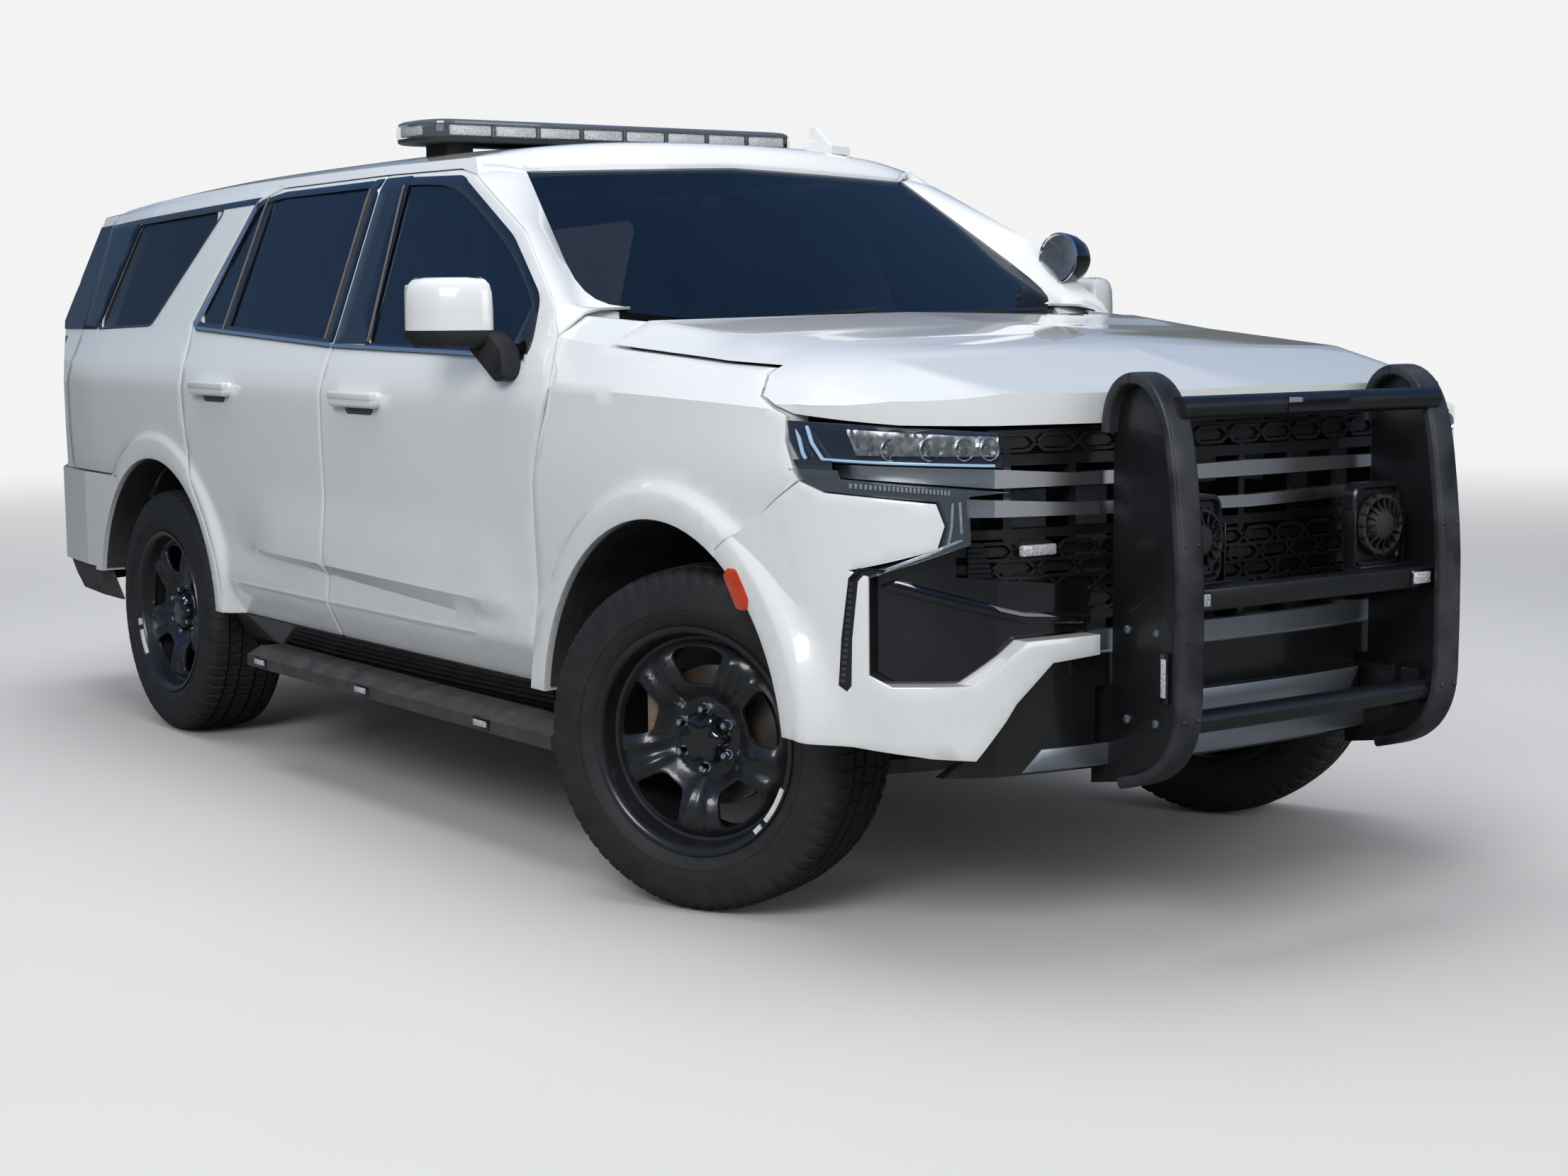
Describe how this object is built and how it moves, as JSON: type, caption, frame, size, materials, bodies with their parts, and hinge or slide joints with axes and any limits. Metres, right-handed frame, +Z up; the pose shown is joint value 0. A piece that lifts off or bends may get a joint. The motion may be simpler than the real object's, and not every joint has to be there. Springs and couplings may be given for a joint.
{
  "type": "police suv",
  "caption": "Full-size white police SUV with push bumper, roof light bar, spot lamp, opening doors, bonnet and tailgate, steered front wheels and a hollow cabin.",
  "frame": {"origin": "on the ground, under the middle of the vehicle's bounding box", "axes": "front faces -Y, +X is the vehicle's left, +Z up"},
  "size_m": [2.38, 5.521, 1.96],
  "materials": {
    "paint": "gloss white",
    "steel_black": "satin black",
    "chassis": "matt black",
    "wheel_black": "satin black",
    "bright": "polished",
    "satin": "satin grey",
    "gloss_black": "gloss black",
    "matt_black": "matt black",
    "dark_glass": "dark tint",
    "clear_glass": "light tint",
    "lamp_clear": "clear lens",
    "lamp_red": "red lens",
    "tyre": "matt black rubber",
    "iron": "bare iron",
    "alloy": "as cast",
    "seat_cloth": "dark grey cloth",
    "trim": "dark grey",
    "white_plastic": "gloss white",
    "exhaust_steel": "dull steel"
  },
  "bodies": {
    "vehicle": {"body_side_left": "paint", "body_side_right": "paint", "fixed_glass": "clear_glass", "roof": "paint", "front_wings": "paint", "front_bumper": "paint", "headlamps": "lamp_clear", "corner_panels": "gloss_black", "front_carrier": "chassis", "grille": "matt_black", "grille_brights": "bright", "lower_valance": "matt_black", "bumper_bar": "satin", "push_bumper": "steel_black", "siren_speakers": "matt_black", "tail_lamps": "lamp_red", "rear_bumper": "paint", "frame_rails": "chassis", "crossmembers": "chassis", "tow_receiver": "chassis", "floor_pan": "chassis", "firewall_cowl": "matt_black", "arch_liners": "matt_black", "engine_block": "alloy", "gearbox_and_shaft": "alloy", "fuel_tank": "matt_black", "exhaust": "exhaust_steel", "light_bar": "lamp_clear", "running_boards": "matt_black", "seat_bases": "seat_cloth", "seat_backs": "seat_cloth", "dashboard": "trim", "spot_lamp": "matt_black", "fin_aerial": "white_plastic", "suspension": "chassis", "wipers": "matt_black"},
    "front_door_left_body": {"front_door_left": "paint", "front_door_glass_left": "clear_glass", "mirror_left": "white_plastic"},
    "rear_door_left_body": {"rear_door_left": "paint", "rear_door_glass_left": "dark_glass"},
    "knuckle_left_body": {"knuckle_left": "iron"},
    "wheel_front_left_body": {"wheel_front_left": "wheel_black", "tyre_front_left": "tyre"},
    "wheel_rear_left_body": {"wheel_rear_left": "wheel_black", "tyre_rear_left": "tyre"},
    "front_door_right_body": {"front_door_right": "paint", "front_door_glass_right": "clear_glass", "mirror_right": "white_plastic"},
    "rear_door_right_body": {"rear_door_right": "paint", "rear_door_glass_right": "dark_glass"},
    "knuckle_right_body": {"knuckle_right": "iron"},
    "wheel_front_right_body": {"wheel_front_right": "wheel_black", "tyre_front_right": "tyre"},
    "wheel_rear_right_body": {"wheel_rear_right": "wheel_black", "tyre_rear_right": "tyre"},
    "bonnet_body": {"bonnet": "paint"},
    "tailgate_body": {"tailgate": "paint", "tailgate_glass": "dark_glass"},
    "steering_wheel_body": {"steering_wheel": "trim"}
  },
  "joints": [
    {"name": "steer_left", "type": "hinge", "parent": "vehicle", "child": "knuckle_left_body", "pos_m": [0.8, -1.6305, 0.404], "axis": [0, 0, 1], "range_deg": [-59.5, 10.5]},
    {"name": "steer_right", "type": "hinge", "parent": "vehicle", "child": "knuckle_right_body", "pos_m": [-0.8, -1.6305, 0.404], "axis": [0, 0, 1], "range_deg": [-59.5, 10.5]},
    {"name": "wheel_front_left_spin", "type": "hinge", "parent": "knuckle_left_body", "child": "wheel_front_left_body", "pos_m": [0.8637, -1.60147, 0.404], "axis": [0.91, 0.4147, 0], "continuous": true},
    {"name": "wheel_rear_left_spin", "type": "hinge", "parent": "vehicle", "child": "wheel_rear_left_body", "pos_m": [0.87, 1.4405, 0.404], "axis": [1, 0, 0], "continuous": true},
    {"name": "front_door_left_hinge", "type": "hinge", "parent": "vehicle", "child": "front_door_left_body", "pos_m": [1.0265, -1.1305, 0.9], "axis": [0, 0, -1], "range_deg": [0, 66]},
    {"name": "rear_door_left_hinge", "type": "hinge", "parent": "vehicle", "child": "rear_door_left_body", "pos_m": [1.0265, 0.1425, 0.9], "axis": [0, 0, -1], "range_deg": [0, 66]},
    {"name": "wheel_front_right_spin", "type": "hinge", "parent": "knuckle_right_body", "child": "wheel_front_right_body", "pos_m": [-0.8637, -1.65953, 0.404], "axis": [0.91, 0.4147, 0], "continuous": true},
    {"name": "wheel_rear_right_spin", "type": "hinge", "parent": "vehicle", "child": "wheel_rear_right_body", "pos_m": [-0.87, 1.4405, 0.404], "axis": [1, 0, 0], "continuous": true},
    {"name": "front_door_right_hinge", "type": "hinge", "parent": "vehicle", "child": "front_door_right_body", "pos_m": [-1.0265, -1.1305, 0.9], "axis": [0, 0, 1], "range_deg": [0, 66]},
    {"name": "rear_door_right_hinge", "type": "hinge", "parent": "vehicle", "child": "rear_door_right_body", "pos_m": [-1.0265, 0.1425, 0.9], "axis": [0, 0, 1], "range_deg": [0, 66]},
    {"name": "bonnet_hinge", "type": "hinge", "parent": "vehicle", "child": "bonnet_body", "pos_m": [0, -1.2855, 1.406], "axis": [-1, 0, 0], "range_deg": [0, 50]},
    {"name": "tailgate_hinge", "type": "hinge", "parent": "vehicle", "child": "tailgate_body", "pos_m": [0, 2.3575, 1.838], "axis": [1, 0, 0], "range_deg": [0, 80]},
    {"name": "steering_wheel_turn", "type": "hinge", "parent": "vehicle", "child": "steering_wheel_body", "pos_m": [0.385, -0.6205, 1.135], "axis": [0, 0.9063, 0.4226], "range_deg": [-773.5, 136.5]}
  ],
  "couplings": [
    {"joint": "steer_right", "follows": "steer_left", "ratio": 1},
    {"joint": "steering_wheel_turn", "follows": "steer_left", "ratio": 13}
  ]
}
